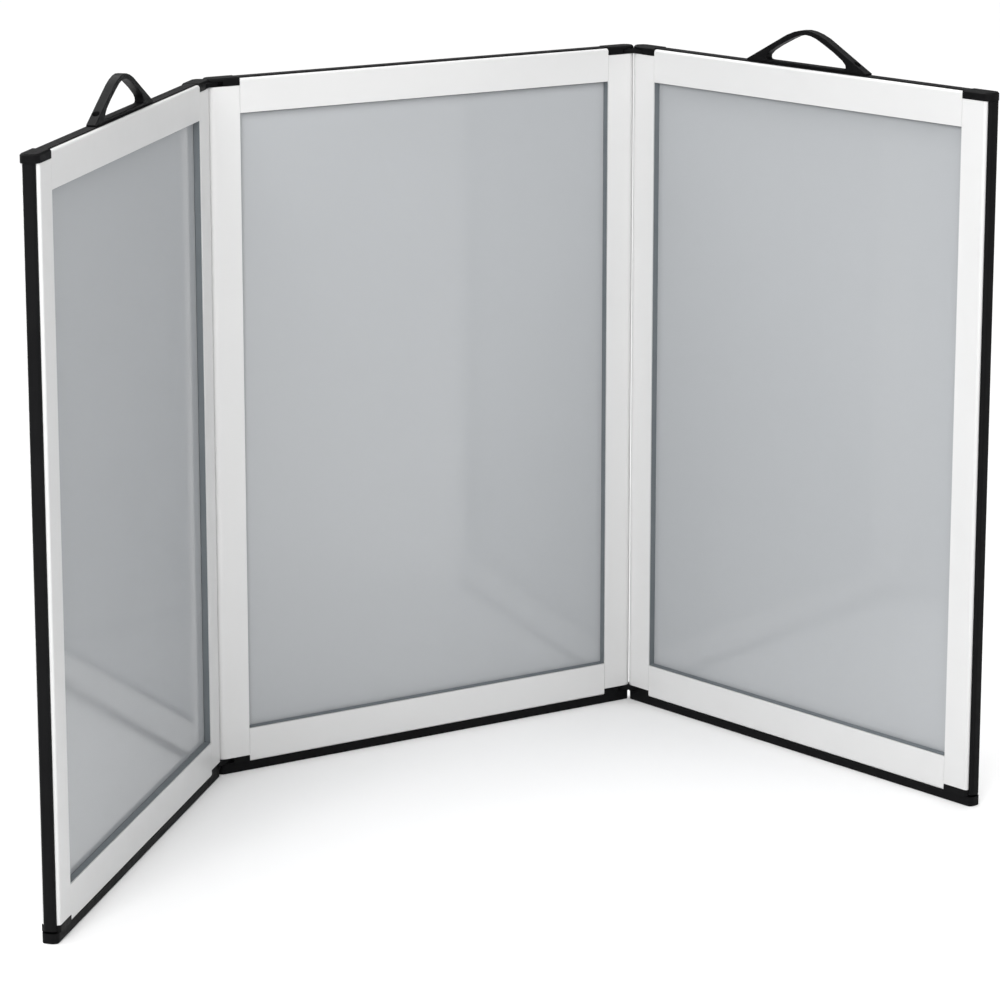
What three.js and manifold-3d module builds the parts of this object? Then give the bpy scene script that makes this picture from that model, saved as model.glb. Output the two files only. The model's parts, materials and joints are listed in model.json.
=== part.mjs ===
// A portable three-panel screen: white aluminium frames with grey panes, black corner caps and
// seals, carry handles on the outer panels, and double-pivot hinges that let it fold flat.
// Millimetres, +Z up, the screen stands on z = 0 and opens towards -Y.
import * as THREE from "three";
import { mergeVertices } from "three/addons/utils/BufferGeometryUtils.js";
import Module from "manifold-3d";

// Overall layout
const MIDDLE_OPENING = 456; // width of the middle panel's opening
const OUTER_OPENING = 444; // width of an outer panel's opening
const OPENING_HEIGHT = 664;
const LEFT_FOLD = THREE.MathUtils.degToRad(45); // how far each outer panel is folded inwards
const RIGHT_FOLD = THREE.MathUtils.degToRad(80);
const GAP = 0.3; // clearance between pieces that touch
const OVERLAP = 1; // how far two solids of one piece run into each other before they are joined

// Frame extrusions
const FRAME_T = 19; // panel thickness
const STILE_W = 37; // at a hinge
const FREE_STILE_W = 31;
const TOP_RAIL_H = 36;
const BOTTOM_RAIL_H = 37;
const WALL = 1.6;
const CORNER_R = 3; // outer corners of the plain and slotted edges
const GLAZING_SLOT_DEPTH = 8;
const GLAZING_SLOT_HALF = 4;
const SEAL_SLOT_LIP = 1.5; // T-slot that holds a seal: lip thickness, mouth and inner half-widths
const SEAL_SLOT_MOUTH = 1.8;
const SEAL_SLOT_HALF = 3;
const SEAL_SLOT_DEPTH = 4.5;

// Pane and glazing gasket
const PANE_T = 4;
const PANE_ENTRY = 5.7; // how far the pane runs into the gasket
const GASKET_FLOOR = 6; // depth of the gasket's own slot
const GASKET_FACE = 8.4; // half the gasket's width, just under the frame's faces
const GASKET_EDGE = 0.7; // how far the gasket stands in from the opening there, and at the pane
const GASKET_LIP = 1.6;
const GASKET_LIP_T = 0.8; // thickness of the lip that lies on the pane

// Seals and top strip
const BOTTOM_SEAL_W = 17;
const BOTTOM_SEAL_H = 10;
const BOTTOM_SEAL_R = 1.5;
const FREE_END_R = 6; // rounding of a bottom seal's free end, in plan
const EDGE_SEAL_W = 12.5;
const EDGE_SEAL_R = 3.5;
const EDGE_SEAL_PROUD = 5;
const EDGE_SEAL_RISE = 2; // gap between the bottom seal and the upright seal
const STRIP_W = 12;
const STRIP_T = 1.4;

// Corner caps
const CAP_LIP = 7; // how far a cap reaches along the stile
const CAP_TOP = 1.6; // how far an upper cap stands above the rail
const CAP_CHAMFER = 1.5; // round an upper cap's top
const CAP_PROUD = 0.2;
const CAP_END_R = 8; // rounding of a free end, in plan
const SPIGOT = 20;
const PRONG = 18;

// Hinges
const PIN_SPACING = 20;
const PIN_R = 2;
const PIN_LENGTH = 24;
const PIN_ENTRY = 2; // how far the pin enters the lid over an upper cap's slot
const LOWER_PIN_ENTRY = 0.8; // and the floor under a lower cap's slot
const PLATE_T = 4.8;
const PLATE_R = 7.5;
const KERF_CLEARANCE = 1; // behind the plate's round end

// Handles
const HANDLE_HALF = 86;
const HANDLE_H = 39;
const HANDLE_DEPTH = 9.5;
const HANDLE_TOE = 1.5;
const HANDLE_SHOULDER = [28, 32]; // where a leg turns into the rounded top: x, height
const HANDLE_CREST = 12; // control point of the rounded top
const GRIP_HALF = 58.5; // finger opening: half-width at its floor
const GRIP_FLOOR = 3;
const GRIP_CORNER = 5;
const GRIP_LEAN = 2; // how far the end of the opening leans in over one corner height
const GRIP_SHOULDER = [23, 27.5];
const GRIP_CREST = 10;
const GRIP_TOP = 34;
const SCREW_X = 70;
const SCREW_R = 1.75;
const SCREW_HEAD_R = 3.2;
const SCREW_HEAD_H = 2.6;
const SCREW_LENGTH = 14;
const SCREW_SEAT = 3; // height of the counterbore's floor

const ARC_STEPS = 3; // steps in a quarter turn of an arc are twice this
const ROUND_STEPS = 8; // for the half-round hinge edges
const ROD_SIDES = 16;

// Heights and places worked out from the dimensions above
const FRAME_BOTTOM = BOTTOM_SEAL_H;
const OPENING_BOTTOM = FRAME_BOTTOM + BOTTOM_RAIL_H;
const OPENING_TOP = OPENING_BOTTOM + OPENING_HEIGHT;
const FRAME_TOP = OPENING_TOP + TOP_RAIL_H;
const STILE_BOTTOM = FRAME_BOTTOM + CAP_LIP + GAP;
const STILE_TOP = FRAME_TOP - CAP_LIP - GAP;
const PIN_U = STILE_W - FRAME_T / 2; // hinge pin, measured outwards from the opening
const MIDDLE_PIN = MIDDLE_OPENING / 2 + PIN_U;
const OUTER_PIN = OUTER_OPENING / 2 + PIN_U;
const CAVITY_HALF = FRAME_T / 2 - WALL;
const CAVITY_START = GLAZING_SLOT_DEPTH + WALL;
const SEAL_WALL_HALF = SEAL_SLOT_HALF + WALL;
const KERF_H = PLATE_T + 2 * GAP; // slot in a cap for the link plate, at the stile's end
const TOP_KERF_Z = FRAME_TOP - CAP_LIP;
const BOTTOM_KERF_Z = FRAME_BOTTOM + CAP_LIP - KERF_H;

const wasm = await Module();
wasm.setup();

const finish = {
  frame: { color: 0xe6e8e8, roughness: 0.38, metalness: 0 },
  pane: { color: 0xa4a9ad, roughness: 0.12, metalness: 0 },
  gasket: { color: 0x5a6165, roughness: 0.6, metalness: 0 },
  seal: { color: 0x161616, roughness: 0.65, metalness: 0 },
  cap: { color: 0x1c1c1d, roughness: 0.5, metalness: 0 },
  steel: { color: 0x9a9da0, roughness: 0.35, metalness: 1 },
};

function piece(name, geometry, look) {
  const mesh = new THREE.Mesh(geometry, new THREE.MeshStandardMaterial(finish[look]));
  mesh.name = name;
  return mesh;
}

// A closed geometry as a solid, and back.
function solid(geometry) {
  const bare = geometry.clone();
  bare.deleteAttribute("normal");
  bare.deleteAttribute("uv");
  const merged = mergeVertices(bare, 1e-4);
  const vertProperties = merged.attributes.position.array;
  const triVerts = new Uint32Array(merged.index.array);
  return new wasm.Manifold(new wasm.Mesh({ numProp: 3, vertProperties, triVerts }));
}

function geometryOf(body) {
  const mesh = body.getMesh();
  const geometry = new THREE.BufferGeometry();
  geometry.setAttribute("position", new THREE.BufferAttribute(mesh.vertProperties, 3));
  geometry.setIndex(new THREE.BufferAttribute(mesh.triVerts, 1));
  return geometry;
}

function extrude(shape, length, steps = ARC_STEPS) {
  const options = { depth: length, bevelEnabled: false, curveSegments: steps };
  return new THREE.ExtrudeGeometry(shape, options);
}

// An outline in plan, raised from z0 to z1.
function upright(shape, z0, z1, steps) {
  return extrude(shape, z1 - z0, steps).translate(0, 0, z0);
}

// An outline in (y, z), run along x from x0 to x1.
function lengthways(shape, x0, x1) {
  const turn = new THREE.Matrix4().makeBasis(
    new THREE.Vector3(0, 1, 0),
    new THREE.Vector3(0, 0, 1),
    new THREE.Vector3(1, 0, 0),
  );
  return extrude(shape, x1 - x0).applyMatrix4(turn).translate(x0, 0, 0);
}

// An outline in (x, z), centred on y = 0.
function acrossDepth(shape, depth) {
  return extrude(shape, depth).rotateX(Math.PI / 2).translate(0, depth / 2, 0);
}

function box(x0, x1, y0, y1, z0, z1) {
  const geometry = new THREE.BoxGeometry(x1 - x0, y1 - y0, z1 - z0);
  return geometry.translate((x0 + x1) / 2, (y0 + y1) / 2, (z0 + z1) / 2);
}

function rod(radius, x, z0, z1) {
  const geometry = new THREE.CylinderGeometry(radius, radius, z1 - z0, ROD_SIDES);
  return geometry.rotateX(Math.PI / 2).translate(x, 0, (z0 + z1) / 2);
}

function polygon(points) {
  return new THREE.Shape(points.map(([x, y]) => new THREE.Vector2(x, y)));
}

// The hollow inside an extrusion. u runs outwards from the opening, v through the thickness.
function cavity(width, edge, inset) {
  const half = CAVITY_HALF - inset;
  const start = CAVITY_START + inset;
  const end = width - WALL - inset;
  const path = new THREE.Shape();
  path.moveTo(start, half);
  path.lineTo(start, -half);
  if (edge === "round") {
    path.lineTo(PIN_U, -half);
    path.absarc(PIN_U, 0, half, -Math.PI / 2, Math.PI / 2, false);
  }
  if (edge === "plain") {
    path.lineTo(end, -half);
    path.lineTo(end, half);
  }
  if (edge === "slotted") {
    const wall = SEAL_WALL_HALF + inset;
    const floor = width - SEAL_SLOT_DEPTH - WALL - inset;
    path.lineTo(end, -half);
    path.lineTo(end, -wall);
    path.lineTo(floor, -wall);
    path.lineTo(floor, wall);
    path.lineTo(end, wall);
    path.lineTo(end, half);
  }
  path.closePath();
  return path;
}

// Section of a frame extrusion: a glazing slot at u = 0 and, at its outer edge, a half-round
// hinge edge, a T-slot for a seal, or neither.
function frameSection(width, edge) {
  const half = FRAME_T / 2;
  const shape = new THREE.Shape();
  shape.moveTo(GLAZING_SLOT_DEPTH, GLAZING_SLOT_HALF);
  shape.lineTo(GLAZING_SLOT_DEPTH, -GLAZING_SLOT_HALF);
  shape.lineTo(0, -GLAZING_SLOT_HALF);
  shape.lineTo(0, -half);
  if (edge === "round") {
    shape.lineTo(PIN_U, -half);
    shape.absarc(PIN_U, 0, half, -Math.PI / 2, Math.PI / 2, false);
  } else {
    shape.lineTo(width - CORNER_R, -half);
    shape.absarc(width - CORNER_R, CORNER_R - half, CORNER_R, -Math.PI / 2, 0, false);
    if (edge === "slotted") {
      const lip = width - SEAL_SLOT_LIP;
      const floor = width - SEAL_SLOT_DEPTH;
      shape.lineTo(width, -SEAL_SLOT_MOUTH);
      shape.lineTo(lip, -SEAL_SLOT_MOUTH);
      shape.lineTo(lip, -SEAL_SLOT_HALF);
      shape.lineTo(floor, -SEAL_SLOT_HALF);
      shape.lineTo(floor, SEAL_SLOT_HALF);
      shape.lineTo(lip, SEAL_SLOT_HALF);
      shape.lineTo(lip, SEAL_SLOT_MOUTH);
      shape.lineTo(width, SEAL_SLOT_MOUTH);
    }
    shape.absarc(width - CORNER_R, half - CORNER_R, CORNER_R, 0, Math.PI / 2, false);
  }
  shape.lineTo(0, half);
  shape.lineTo(0, GLAZING_SLOT_HALF);
  shape.closePath();
  shape.holes.push(cavity(width, edge, 0));
  return shape;
}

function stileWidth(edge) {
  return edge === "round" ? STILE_W : FREE_STILE_W;
}

function stile(edge) {
  const section = frameSection(stileWidth(edge), edge);
  return upright(section, STILE_BOTTOM, STILE_TOP, ROUND_STEPS);
}

// A rail is the same section laid along x: u points away from the opening.
function rail(opening, height, edge, upper) {
  const length = opening - 2 * GAP;
  const geometry = extrude(frameSection(height, edge), length);
  const outwards = new THREE.Vector3(0, 0, upper ? 1 : -1);
  const along = new THREE.Vector3(upper ? 1 : -1, 0, 0);
  const turn = new THREE.Matrix4().makeBasis(outwards, new THREE.Vector3(0, 1, 0), along.negate());
  geometry.applyMatrix4(turn);
  geometry.translate(upper ? length / 2 : -length / 2, 0, upper ? OPENING_TOP : OPENING_BOTTOM);
  return geometry;
}

// A cap closes a stile's end: a block over the end, a spigot down the hollow and two prongs
// into the rail. u runs outwards from the opening, and the cap is built for the stile at +u.
function capOutline(edge, reach, endR, inset) {
  const half = FRAME_T / 2 + CAP_PROUD - inset;
  const shape = new THREE.Shape();
  shape.moveTo(0, half);
  shape.lineTo(0, -half);
  if (edge === "round") {
    shape.lineTo(PIN_U, -half);
    shape.absarc(PIN_U, 0, half, -Math.PI / 2, Math.PI / 2, false);
  } else {
    const radius = endR - inset;
    shape.lineTo(reach - endR, -half);
    shape.absarc(reach - endR, radius - half, radius, -Math.PI / 2, 0, false);
    shape.absarc(reach - endR, half - radius, radius, 0, Math.PI / 2, false);
  }
  shape.closePath();
  return shape;
}

function capBlock(edge, upper, low, high) {
  const reach = stileWidth(edge) + (upper ? EDGE_SEAL_PROUD + CAP_PROUD : 0);
  const endR = upper ? CAP_END_R : CORNER_R;
  const chamfer = upper ? CAP_CHAMFER : 0;
  const outline = capOutline(edge, reach, endR, 0);
  const block = solid(upright(outline, low, high - chamfer, ROUND_STEPS));
  if (!upper) return block;
  const top = capOutline(edge, reach, endR, chamfer);
  return wasm.Manifold.hull([block, solid(upright(top, low, high, ROUND_STEPS))]);
}

function cap(edge, upper) {
  const low = upper ? FRAME_TOP - CAP_LIP : FRAME_BOTTOM;
  const high = upper ? FRAME_TOP + CAP_TOP : FRAME_BOTTOM + CAP_LIP;
  const stileEnd = upper ? low : high;
  const spigotTip = upper ? stileEnd - SPIGOT : stileEnd + SPIGOT;
  const spigotLow = Math.min(spigotTip, stileEnd - OVERLAP);
  const spigotHigh = Math.max(spigotTip, stileEnd + OVERLAP);
  const plug = cavity(stileWidth(edge), edge, GAP);
  let body = capBlock(edge, upper, low, high);
  body = body.add(solid(upright(plug, spigotLow, spigotHigh, ROUND_STEPS)));
  const prongIn = SEAL_WALL_HALF + GAP;
  const prongOut = CAVITY_HALF - GAP;
  const prongLow = upper ? low + GAP : FRAME_BOTTOM + WALL + GAP;
  const prongHigh = upper ? FRAME_TOP - WALL - GAP : high - GAP;
  for (const [inner, outer] of [[prongIn, prongOut], [-prongOut, -prongIn]]) {
    body = body.add(solid(box(-PRONG, OVERLAP, inner, outer, prongLow, prongHigh)));
  }
  if (edge === "round") {
    const kerfLow = upper ? TOP_KERF_Z : BOTTOM_KERF_Z;
    const kerfStart = PIN_U - PLATE_R - KERF_CLEARANCE;
    const kerfEnd = STILE_W + CAP_PROUD + OVERLAP;
    const kerf = box(kerfStart, kerfEnd, -FRAME_T, FRAME_T, kerfLow, kerfLow + KERF_H);
    const bore = PIN_R + GAP;
    const boreLow = upper ? spigotTip - OVERLAP : pinRange(upper)[0] - GAP;
    const boreHigh = upper ? pinRange(upper)[1] + GAP : spigotTip + OVERLAP;
    body = body.subtract(solid(kerf)).subtract(solid(rod(bore, PIN_U, boreLow, boreHigh)));
  }
  return geometryOf(body);
}

function pinRange(upper) {
  if (upper) {
    const tip = TOP_KERF_Z + KERF_H + PIN_ENTRY;
    return [tip - PIN_LENGTH, tip];
  }
  const tip = BOTTOM_KERF_Z - LOWER_PIN_ENTRY;
  return [tip, tip + PIN_LENGTH];
}

// The gasket is one mitred ring round the pane. In its section u runs from the opening's edge
// towards the pane's middle, so negative u lies in the frame's glazing slot.
function gasket(opening) {
  const base = GLAZING_SLOT_HALF - GAP;
  const slot = PANE_T / 2 + GAP;
  const foot = GLAZING_SLOT_DEPTH - GAP;
  const half = [
    [-foot, base],
    [GAP, base],
    [GAP, GASKET_FACE],
    [GASKET_EDGE, GASKET_FACE],
    [GASKET_LIP, slot + GASKET_LIP_T],
    [GASKET_LIP, slot],
    [-GASKET_FLOOR, slot],
  ];
  const section = [...half.map(([u, v]) => [u, -v]), ...half.toReversed()];
  const corners = [[-1, -1], [1, -1], [1, 1], [-1, 1]];
  const positions = corners.flatMap(([sx, sz]) =>
    section.flatMap(([u, v]) => [
      sx * (opening / 2 - u),
      v,
      OPENING_BOTTOM + OPENING_HEIGHT / 2 + sz * (OPENING_HEIGHT / 2 - u),
    ]),
  );
  const n = section.length;
  const index = [];
  for (let c = 0; c < corners.length; c++) {
    const next = ((c + 1) % corners.length) * n;
    for (let i = 0; i < n; i++) {
      const j = (i + 1) % n;
      index.push(c * n + i, next + j, c * n + j, c * n + i, next + i, next + j);
    }
  }
  const geometry = new THREE.BufferGeometry();
  geometry.setAttribute("position", new THREE.Float32BufferAttribute(positions, 3));
  geometry.setIndex(index);
  return geometry;
}

function pane(opening) {
  const half = opening / 2 + PANE_ENTRY;
  const low = OPENING_BOTTOM - PANE_ENTRY;
  const high = OPENING_TOP + PANE_ENTRY;
  return box(-half, half, -PANE_T / 2, PANE_T / 2, low, high);
}

function topStrip(opening) {
  const half = opening / 2 - 2 * GAP;
  return box(-half, half, -STRIP_W / 2, STRIP_W / 2, FRAME_TOP + GAP, FRAME_TOP + STRIP_T);
}

// The T-shaped foot of a seal, pointing along -u from the edge at u = 0.
function sealFoot() {
  const neck = SEAL_SLOT_MOUTH - GAP;
  const head = SEAL_SLOT_HALF - GAP;
  const lip = -SEAL_SLOT_LIP - GAP;
  const floor = GAP - SEAL_SLOT_DEPTH;
  const half = [[OVERLAP, neck], [lip, neck], [lip, head], [floor, head]];
  return [...half, ...half.map(([u, v]) => [u, -v]).reverse()];
}

// Upright seal on a free edge, for the stile at +x.
function edgeSeal(edgeX) {
  const half = EDGE_SEAL_W / 2;
  const inner = edgeX + GAP;
  const outer = edgeX + EDGE_SEAL_PROUD;
  const bulb = new THREE.Shape();
  bulb.moveTo(inner, half);
  bulb.lineTo(inner, -half);
  bulb.lineTo(outer - EDGE_SEAL_R, -half);
  bulb.absarc(outer - EDGE_SEAL_R, EDGE_SEAL_R - half, EDGE_SEAL_R, -Math.PI / 2, 0, false);
  bulb.absarc(outer - EDGE_SEAL_R, half - EDGE_SEAL_R, EDGE_SEAL_R, 0, Math.PI / 2, false);
  bulb.closePath();
  const foot = polygon(sealFoot().map(([u, v]) => [edgeX + u, v]));
  const low = FRAME_BOTTOM + EDGE_SEAL_RISE;
  const body = solid(upright(bulb, low, STILE_TOP, ARC_STEPS));
  return geometryOf(body.add(solid(upright(foot, STILE_BOTTOM, STILE_TOP))));
}

// Bottom seal: flat underneath, half-round about the pin at a hinge, and rounded at a free end.
function bottomSeal(opening, leftEnd, rightEnd, leftFree, rightFree) {
  const half = BOTTOM_SEAL_W / 2;
  const top = BOTTOM_SEAL_H - GAP;
  const edgeR = BOTTOM_SEAL_R;
  const bulb = new THREE.Shape();
  bulb.moveTo(half, top);
  bulb.lineTo(-half, top);
  bulb.absarc(edgeR - half, edgeR, edgeR, Math.PI, 1.5 * Math.PI, false);
  bulb.absarc(half - edgeR, edgeR, edgeR, -Math.PI / 2, 0, false);
  bulb.closePath();
  const foot = polygon(sealFoot().map(([u, v]) => [v, FRAME_BOTTOM - u]));
  const railHalf = opening / 2 - 2 * GAP;
  const plan = new THREE.Shape();
  const round = (free) => (free ? FREE_END_R : half);
  const leftR = round(leftFree);
  const rightR = round(rightFree);
  plan.moveTo(leftEnd + leftR, -half);
  plan.lineTo(rightEnd - rightR, -half);
  plan.absarc(rightEnd - rightR, rightR - half, rightR, -Math.PI / 2, 0, false);
  plan.absarc(rightEnd - rightR, half - rightR, rightR, 0, Math.PI / 2, false);
  plan.absarc(leftEnd + leftR, half - leftR, leftR, Math.PI / 2, Math.PI, false);
  plan.absarc(leftEnd + leftR, leftR - half, leftR, Math.PI, 1.5 * Math.PI, false);
  plan.closePath();
  const bar = solid(lengthways(bulb, leftEnd - OVERLAP, rightEnd + OVERLAP));
  const trimmed = bar.intersect(solid(upright(plan, -OVERLAP, BOTTOM_SEAL_H)));
  return geometryOf(trimmed.add(solid(lengthways(foot, -railHalf, railHalf))));
}

// Carry handle, its base at z = 0 and its middle at x = 0.
function handle() {
  const [shoulderX, shoulderZ] = HANDLE_SHOULDER;
  const outer = new THREE.Shape();
  outer.moveTo(-HANDLE_HALF, 0);
  outer.lineTo(HANDLE_HALF, 0);
  outer.lineTo(HANDLE_HALF, HANDLE_TOE);
  outer.lineTo(shoulderX, shoulderZ);
  outer.quadraticCurveTo(HANDLE_CREST, HANDLE_H, 0, HANDLE_H);
  outer.quadraticCurveTo(-HANDLE_CREST, HANDLE_H, -shoulderX, shoulderZ);
  outer.lineTo(-HANDLE_HALF, HANDLE_TOE);
  outer.closePath();
  const [gripX, gripZ] = GRIP_SHOULDER;
  const cornerTop = GRIP_FLOOR + GRIP_CORNER;
  const bendTop = GRIP_FLOOR + 2 * GRIP_CORNER;
  const cornerX = GRIP_HALF - GRIP_LEAN;
  const bendX = GRIP_HALF - 2 * GRIP_LEAN;
  const grip = new THREE.Path();
  grip.moveTo(GRIP_CORNER - GRIP_HALF, GRIP_FLOOR);
  grip.lineTo(GRIP_HALF - GRIP_CORNER, GRIP_FLOOR);
  grip.quadraticCurveTo(GRIP_HALF, GRIP_FLOOR, cornerX, cornerTop);
  grip.quadraticCurveTo(bendX, bendTop, gripX, gripZ);
  grip.quadraticCurveTo(GRIP_CREST, GRIP_TOP, 0, GRIP_TOP);
  grip.quadraticCurveTo(-GRIP_CREST, GRIP_TOP, -gripX, gripZ);
  grip.quadraticCurveTo(-bendX, bendTop, -cornerX, cornerTop);
  grip.quadraticCurveTo(-GRIP_HALF, GRIP_FLOOR, GRIP_CORNER - GRIP_HALF, GRIP_FLOOR);
  outer.holes.push(grip);
  let body = solid(acrossDepth(outer, HANDLE_DEPTH));
  for (const x of [-SCREW_X, SCREW_X]) {
    body = body.subtract(solid(rod(SCREW_R + GAP, x, -OVERLAP, HANDLE_H)));
    body = body.subtract(solid(rod(SCREW_HEAD_R + GAP, x, SCREW_SEAT, HANDLE_H)));
  }
  return geometryOf(body);
}

function screw() {
  const head = SCREW_SEAT + GAP;
  const shank = solid(rod(SCREW_R, 0, head - SCREW_LENGTH, head + OVERLAP));
  return geometryOf(shank.add(solid(rod(SCREW_HEAD_R, 0, head, head + SCREW_HEAD_H))));
}

function stadium(length, radius) {
  const shape = new THREE.Shape();
  shape.absarc(length, 0, radius, -Math.PI / 2, Math.PI / 2, false);
  shape.absarc(0, 0, radius, Math.PI / 2, 1.5 * Math.PI, false);
  shape.closePath();
  return shape;
}

function linkPlate(z) {
  const shape = stadium(PIN_SPACING, PLATE_R);
  for (const x of [0, PIN_SPACING]) {
    shape.holes.push(new THREE.Path().absarc(x, 0, PIN_R + GAP, 0, 2 * Math.PI, true));
  }
  return upright(shape, z, z + PLATE_T, ROUND_STEPS);
}

// Moves a piece built for the stile at +u to a panel's left (-1) or right (+1) edge.
function onEdge(geometry, side, opening) {
  if (side < 0) geometry.rotateZ(Math.PI);
  return geometry.translate((side * opening) / 2, 0, 0);
}

// A hole for each handle screw, down through the strip and the rail's top wall.
function drilled(geometry) {
  let body = solid(geometry);
  for (const x of [-SCREW_X, SCREW_X]) {
    const hole = rod(SCREW_R + GAP, x, FRAME_TOP - 2 * WALL, FRAME_TOP + 2 * STRIP_T);
    body = body.subtract(solid(hole));
  }
  return geometryOf(body);
}

// One panel, centred on its opening. An edge is { side, label, hinged }.
function buildPanel(name, opening, edges, hasHandle) {
  const group = new THREE.Group();
  const add = (part, geometry, look) => group.add(piece(`${name}_${part}`, geometry, look));
  const ends = {};
  for (const { side, label, hinged } of edges) {
    const edge = hinged ? "round" : "slotted";
    add(`${label}_stile`, onEdge(stile(edge), side, opening), "frame");
    add(`top_${label}_cap`, onEdge(cap(edge, true), side, opening), "cap");
    add(`bottom_${label}_cap`, onEdge(cap(edge, false), side, opening), "cap");
    if (!hinged) add("edge_seal", onEdge(edgeSeal(FREE_STILE_W), side, opening), "seal");
    const reach = hinged ? PIN_U + BOTTOM_SEAL_W / 2 : FREE_STILE_W + EDGE_SEAL_PROUD;
    ends[side] = { x: side * (opening / 2 + reach), free: !hinged };
  }
  const upperRail = rail(opening, TOP_RAIL_H, "plain", true);
  const strip = topStrip(opening);
  add("top_rail", hasHandle ? drilled(upperRail) : upperRail, "frame");
  add("top_strip", hasHandle ? drilled(strip) : strip, "seal");
  add("bottom_rail", rail(opening, BOTTOM_RAIL_H, "slotted", false), "frame");
  add("bottom_seal", bottomSeal(opening, ends[-1].x, ends[1].x, ends[-1].free, ends[1].free), "seal");
  add("gasket", gasket(opening), "gasket");
  add("pane", pane(opening), "pane");
  if (hasHandle) {
    const seat = FRAME_TOP + STRIP_T + GAP;
    add("handle", handle().translate(0, 0, seat), "cap");
    for (const [label, x] of [["left", -SCREW_X], ["right", SCREW_X]]) {
      add(`handle_${label}_screw`, screw().translate(x, 0, seat), "steel");
    }
  }
  return group;
}

// The pieces that join two panels, from the middle panel's pin at the group's origin.
function buildHinge(name) {
  const group = new THREE.Group();
  const add = (part, geometry, look) => group.add(piece(`${name}_${part}`, geometry, look));
  add("top_plate", linkPlate(TOP_KERF_Z + GAP), "cap");
  add("bottom_plate", linkPlate(BOTTOM_KERF_Z + GAP), "cap");
  for (const [level, upper] of [["top", true], ["bottom", false]]) {
    for (const [label, x] of [["inner", 0], ["outer", PIN_SPACING]]) {
      add(`${level}_${label}_pin`, rod(PIN_R, x, ...pinRange(upper)), "steel");
    }
  }
  return group;
}

// Hangs an outer panel on the middle panel: side is -1 or +1, fold is the angle inwards.
function buildWing(side, name, fold) {
  const atMiddle = new THREE.Group();
  atMiddle.position.set(side * MIDDLE_PIN, 0, 0);
  atMiddle.rotation.z = (side < 0 ? Math.PI : 0) - (side * fold) / 2;
  atMiddle.add(buildHinge(`${name}_hinge`));
  const atOuter = new THREE.Group();
  atOuter.position.set(PIN_SPACING, 0, 0);
  atOuter.rotation.z = (side < 0 ? -Math.PI : 0) - (side * fold) / 2;
  const edges = [
    { side: -side, label: "hinge", hinged: true },
    { side, label: "free", hinged: false },
  ];
  const panel = buildPanel(name, OUTER_OPENING, edges, true);
  panel.position.x = side * OUTER_PIN;
  atOuter.add(panel);
  atMiddle.add(atOuter);
  return atMiddle;
}

const screen = new THREE.Group();
const middleEdges = [
  { side: -1, label: "left", hinged: true },
  { side: 1, label: "right", hinged: true },
];
screen.add(buildPanel("middle", MIDDLE_OPENING, middleEdges, false));
screen.add(buildWing(-1, "left", LEFT_FOLD));
screen.add(buildWing(1, "right", RIGHT_FOLD));

// The origin is the middle of the footprint, on the floor.
const extent = new THREE.Box3().setFromObject(screen, true);
const centre = extent.getCenter(new THREE.Vector3());
screen.position.set(-centre.x, -centre.y, -extent.min.z);
const part = new THREE.Group();
part.add(screen);
export default part;
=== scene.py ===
"""Looks of the folding three-panel screen: powder-coated frames, glossy grey panes, black rubber
seals, black moulded caps and handles. Metres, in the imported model's own frame."""
import json
import math

import bpy
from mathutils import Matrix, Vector

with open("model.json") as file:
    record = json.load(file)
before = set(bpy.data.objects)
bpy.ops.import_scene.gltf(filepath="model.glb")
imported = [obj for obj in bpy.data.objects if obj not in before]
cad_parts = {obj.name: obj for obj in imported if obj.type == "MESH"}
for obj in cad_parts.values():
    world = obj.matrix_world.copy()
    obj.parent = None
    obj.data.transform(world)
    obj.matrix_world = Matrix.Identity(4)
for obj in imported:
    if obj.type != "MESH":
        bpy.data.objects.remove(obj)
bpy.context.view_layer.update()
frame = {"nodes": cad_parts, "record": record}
NODES = frame["nodes"]
SLOT_OF = {part["node"]: part["material_slot"] for part in frame["record"]["subparts"]}

MM = 0.001

# ------------------------------------------------------------------- camera

CAMERA_AT = Vector((-1.8858, -3.1412, 1.2634))
CAMERA_HEADING = math.radians(31.93)  # from +Y towards +X
CAMERA_DIP = math.radians(12.63)  # below the horizon
CAMERA_LENS = 134.2  # millimetres
CAMERA_SENSOR = 36  # width in millimetres
CAMERA_SHIFT_Y = -0.1


def make_camera():
    """The camera at the chosen place, level from side to side."""
    data = bpy.data.cameras.new("camera")
    data.lens = CAMERA_LENS
    data.sensor_width = CAMERA_SENSOR
    data.shift_y = CAMERA_SHIFT_Y
    camera = bpy.data.objects.new("camera", data)
    camera.location = CAMERA_AT
    camera.rotation_euler = (math.pi / 2 - CAMERA_DIP, 0, -CAMERA_HEADING)
    bpy.context.scene.collection.objects.link(camera)
    bpy.context.scene.camera = camera


# ---------------------------------------------------------------- materials


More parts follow.
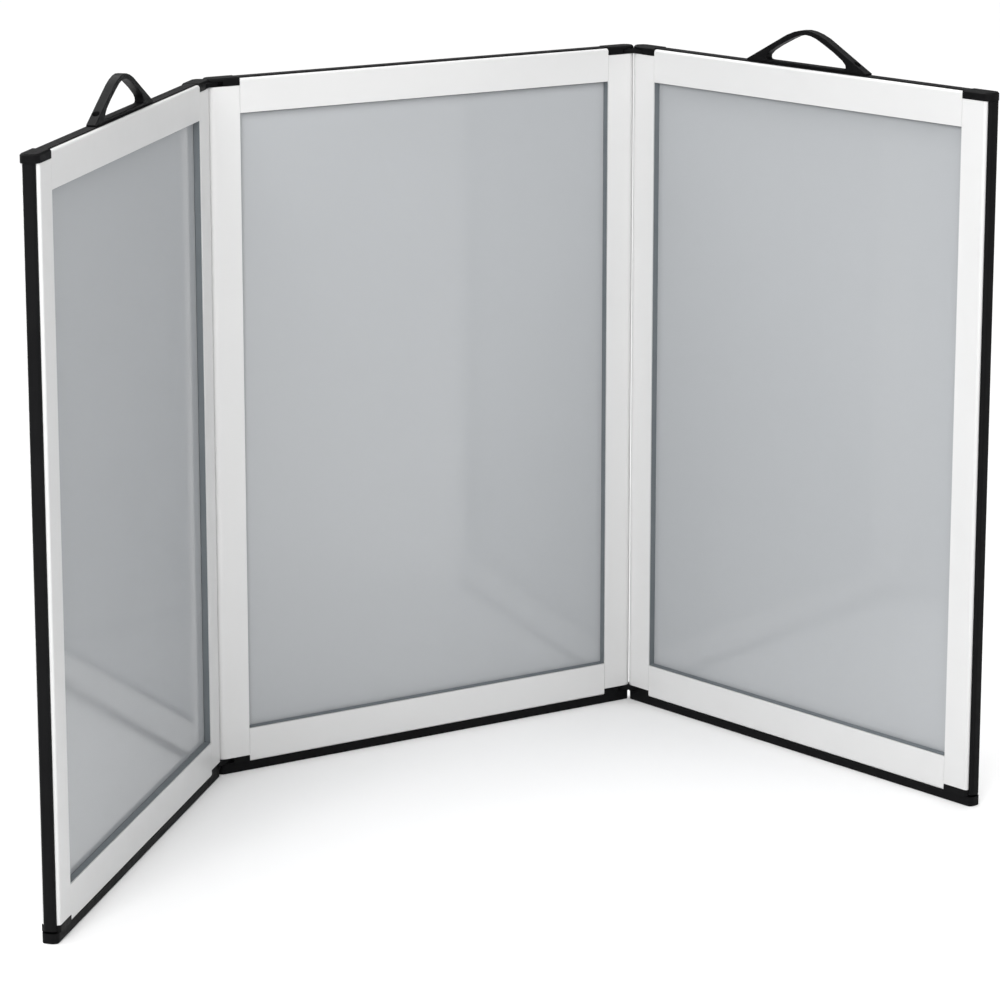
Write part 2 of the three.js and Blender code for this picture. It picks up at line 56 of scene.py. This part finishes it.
class Tree:
    """A new node material, with the few node shapes that the finishes below share."""

    def __init__(self, name):
        self.material = bpy.data.materials.new(name)
        self.material.use_nodes = True
        self.nodes = self.material.node_tree.nodes
        self.links = self.material.node_tree.links
        self.shader = self.nodes["Principled BSDF"]
        coordinates = self.nodes.new("ShaderNodeTexCoord")
        self.place = coordinates.outputs["Object"]

    def noise(self, size, detail=2.0, stretch=(1, 1, 1)):
        """Noise whose grains are about size metres across, stretched along the axes."""
        mapping = self.nodes.new("ShaderNodeMapping")
        mapping.inputs["Scale"].default_value = [1 / (size * s) for s in stretch]
        self.links.new(self.place, mapping.inputs["Vector"])
        node = self.nodes.new("ShaderNodeTexNoise")
        node.inputs["Scale"].default_value = 1.0
        node.inputs["Detail"].default_value = detail
        self.links.new(mapping.outputs["Vector"], node.inputs["Vector"])
        return node.outputs["Fac"]

    def ramp(self, factor, low, high, stops=(0.3, 0.7)):
        """factor mapped from low to high between the two stops."""
        node = self.nodes.new("ShaderNodeMapRange")
        node.inputs["From Min"].default_value = stops[0]
        node.inputs["From Max"].default_value = stops[1]
        node.inputs["To Min"].default_value = low
        node.inputs["To Max"].default_value = high
        self.links.new(factor, node.inputs["Value"])
        return node.outputs["Result"]

    def mix(self, factor, low, high):
        """A colour between low and high."""
        node = self.nodes.new("ShaderNodeMix")
        node.data_type = "RGBA"
        node.inputs["A"].default_value = (*low, 1)
        node.inputs["B"].default_value = (*high, 1)
        self.links.new(factor, node.inputs["Factor"])
        return node.outputs["Result"]

    def bump(self, height, depth, strength=1.0, under=None):
        """Relief up to depth metres deep, laid over the relief under."""
        node = self.nodes.new("ShaderNodeBump")
        node.inputs["Distance"].default_value = depth
        node.inputs["Strength"].default_value = strength
        self.links.new(height, node.inputs["Height"])
        if under is not None:
            self.links.new(under, node.inputs["Normal"])
        return node.outputs["Normal"]

    def finish(self, colour=None, roughness=None, normal=None, **settings):
        """The material. Settings are shader sockets with one value all over, spelt with _."""
        sockets = {"Base Color": colour, "Roughness": roughness, "Normal": normal}
        for name, source in sockets.items():
            if source is not None:
                self.links.new(source, self.shader.inputs[name])
        for name, value in settings.items():
            self.shader.inputs[name.replace("_", " ")].default_value = value
        return self.material


def powder_coat():
    """White powder coat: a faint orange peel and a slow drift in shade."""
    tree = Tree("white_powder_coat")
    drift = tree.noise(size=0.12)
    shade = tree.mix(drift, low=(0.677, 0.678, 0.677), high=(0.707, 0.706, 0.703))
    roughness = tree.ramp(tree.noise(size=0.02, detail=3.0), low=0.30, high=0.40)
    peel = tree.bump(tree.noise(size=0.0022, detail=1.0), depth=0.00004, strength=0.55)
    fine = tree.noise(size=0.0005, detail=1.0)
    grain = tree.bump(fine, depth=0.00001, strength=0.4, under=peel)
    return tree.finish(shade, roughness, grain, IOR=1.5)


def pane_sheet():
    """Glossy grey sheet with a barely uneven surface."""
    tree = Tree("grey_pane")
    drift = tree.noise(size=0.25)
    shade = tree.mix(drift, low=(0.405, 0.419, 0.434), high=(0.424, 0.437, 0.451))
    roughness = tree.ramp(tree.noise(size=0.05, detail=3.0), low=0.07, high=0.10)
    wave = tree.bump(tree.noise(size=0.06, detail=1.0), depth=0.0002, strength=0.35)
    fine = tree.noise(size=0.0008, detail=1.0)
    grain = tree.bump(fine, depth=0.00001, strength=0.1, under=wave)
    return tree.finish(shade, roughness, grain, IOR=1.52)


def rubber(name, dark, light, rough, specular):
    """Extruded rubber with a fine grain."""
    tree = Tree(name)
    shade = tree.mix(tree.noise(size=0.03, detail=4.0), dark, light)
    roughness = tree.ramp(tree.noise(size=0.006, detail=3.0), *rough)
    grain = tree.bump(tree.noise(size=0.0009), depth=0.00005, strength=0.5)
    return tree.finish(shade, roughness, grain, Specular_IOR_Level=specular)


def moulded_plastic():
    """Black moulding with a fine spark-eroded texture."""
    tree = Tree("black_plastic")
    drift = tree.noise(size=0.02, detail=3.0)
    shade = tree.mix(drift, low=(0.004, 0.004, 0.0043), high=(0.008, 0.008, 0.0084))
    roughness = tree.ramp(tree.noise(size=0.004, detail=3.0), low=0.38, high=0.52)
    texture = tree.bump(tree.noise(size=0.0006), depth=0.00004, strength=0.7)
    return tree.finish(shade, roughness, texture, Specular_IOR_Level=0.05)


def metal(name, dark, light, rough):
    """Turned metal: fine rings round an upright axis."""
    tree = Tree(name)
    shade = tree.mix(tree.noise(size=0.002, detail=3.0), dark, light)
    roughness = tree.ramp(tree.noise(size=0.001), *rough)
    rings = tree.noise(size=0.0004, detail=1.0, stretch=(6, 6, 1))
    turned = tree.bump(rings, depth=0.00002, strength=0.5)
    return tree.finish(shade, roughness, turned, Metallic=1.0)


# The finish of each of the record's material slots
FINISHES = {
    "white_frame": powder_coat(),
    "grey_pane": pane_sheet(),
    "grey_rubber": rubber(
        "grey_gasket",
        dark=(0.115, 0.133, 0.146),
        light=(0.155, 0.172, 0.184),
        rough=(0.45, 0.6),
        specular=0.4,
    ),
    "black_rubber": rubber(
        "black_rubber",
        dark=(0.004, 0.004, 0.0044),
        light=(0.008, 0.008, 0.0085),
        rough=(0.5, 0.64),
        specular=0.06,
    ),
    "black_plastic": moulded_plastic(),
    "steel": metal(
        "steel",
        dark=(0.48, 0.49, 0.50),
        light=(0.62, 0.63, 0.64),
        rough=(0.25, 0.4),
    ),
    "dark_screw": metal(
        "dark_screw",
        dark=(0.02, 0.02, 0.021),
        light=(0.045, 0.045, 0.047),
        rough=(0.35, 0.5),
    ),
}

# ---------------------------------------------------------------- CAD nodes

# Width of the rounding on the edges of each slot's pieces
EDGE_ROUNDING = {
    "white_frame": 0.5 * MM,
    "grey_pane": 0.4 * MM,
    "grey_rubber": 0.25 * MM,
    "black_rubber": 0.5 * MM,
    "black_plastic": 0.7 * MM,
    "steel": 0.3 * MM,
    "dark_screw": 0.3 * MM,
}
ROUNDING_STEPS = 3
SHARP = math.radians(28)  # an edge that turns more than this is rounded
WELD = 0.005 * MM


def dress_node(name, node):
    """Gives a CAD node its finish and softens its edges. Its mesh stays as it is."""
    slot = SLOT_OF[name]
    node.data.materials.clear()
    node.data.materials.append(FINISHES[slot])
    if "custom_normal" in node.data.attributes:
        node.data.attributes.remove(node.data.attributes["custom_normal"])
    node.data.shade_smooth()
    weld = node.modifiers.new("weld", "WELD")
    weld.merge_threshold = WELD
    bevel = node.modifiers.new("edges", "BEVEL")
    bevel.width = EDGE_ROUNDING[slot]
    bevel.segments = ROUNDING_STEPS
    bevel.limit_method = "ANGLE"
    bevel.angle_limit = SHARP
    bevel.use_clamp_overlap = True
    normals = node.modifiers.new("normals", "WEIGHTED_NORMAL")
    normals.keep_sharp = True


for node_name, node_object in NODES.items():
    dress_node(node_name, node_object)

# -------------------------------------------------------------------- stage

FLOOR_HALF = 30.0  # half the floor's width
FLOOR_COLOUR = (0.88, 0.88, 0.88)
FLOOR_PATCH = 3.0  # size of the floor's faint patches
FLOOR_PATCH_SHADE = 0.995
FLOOR_ROUGHNESS = 0.9
WORLD_STRENGTH = 0.05
BACKDROP_STRENGTH = 1.0  # the world where it is seen past the floor
OVERHEAD_STRENGTH = 3.9
OVERHEAD_AT = Vector((0.0, 0.0, 3.0))
OVERHEAD_FROM = Vector((0.0, 0.5, 1.0))
OVERHEAD_ANGLE = math.radians(80)
SOFTBOX_SIZE = 1.6
# Each softbox: power in watts, where it stands and what it points at
SOFTBOXES = {
    "key": (66.0, Vector((-1.9, -1.6, 2.0)), Vector((0.1, 0.2, 1.0))),
    "fill": (12.0, Vector((0.3, -1.2, 1.9)), Vector((0.0, 0.15, 0.9))),
}


def make_floor():
    """A plain pale floor, nearly even in shade."""
    mesh = bpy.data.meshes.new("floor")
    half = FLOOR_HALF
    corners = [(-half, -half, 0), (half, -half, 0), (half, half, 0), (-half, half, 0)]
    mesh.from_pydata(corners, [], [(0, 1, 2, 3)])
    floor = bpy.data.objects.new("floor", mesh)
    tree = Tree("floor")
    patch_colour = [c * FLOOR_PATCH_SHADE for c in FLOOR_COLOUR]
    shade = tree.mix(tree.noise(size=FLOOR_PATCH), low=patch_colour, high=FLOOR_COLOUR)
    mesh.materials.append(tree.finish(shade, Roughness=FLOOR_ROUGHNESS))
    bpy.context.scene.collection.objects.link(floor)


def make_world():
    """A white world, faint as a light and bright where it is the background."""
    world = bpy.data.worlds.new("studio")
    world.use_nodes = True
    nodes = world.node_tree.nodes
    links = world.node_tree.links
    background = nodes["Background"]
    background.inputs["Color"].default_value = (1, 1, 1, 1)
    strength = nodes.new("ShaderNodeMapRange")
    strength.inputs["To Min"].default_value = WORLD_STRENGTH
    strength.inputs["To Max"].default_value = BACKDROP_STRENGTH
    path = nodes.new("ShaderNodeLightPath")
    links.new(path.outputs["Is Camera Ray"], strength.inputs["Value"])
    links.new(strength.outputs["Result"], background.inputs["Strength"])
    bpy.context.scene.world = world


def add_light(data, place, back):
    """A light at place, with its back turned towards the direction back."""
    light = bpy.data.objects.new(data.name, data)
    light.location = place
    light.rotation_mode = "QUATERNION"
    light.rotation_quaternion = back.to_track_quat("Z", "Y")
    bpy.context.scene.collection.objects.link(light)


def make_lights():
    """One broad light from above, and two softboxes on the camera's side."""
    data = bpy.data.lights.new("overhead", "SUN")
    data.energy = OVERHEAD_STRENGTH
    data.angle = OVERHEAD_ANGLE
    add_light(data, OVERHEAD_AT, OVERHEAD_FROM)
    for name, (power, place, target) in SOFTBOXES.items():
        data = bpy.data.lights.new(name, "AREA")
        data.energy = power
        data.size = SOFTBOX_SIZE
        add_light(data, place, place - target)


make_floor()
make_world()
make_lights()
make_camera()
bpy.context.scene.view_settings.view_transform = "Standard"
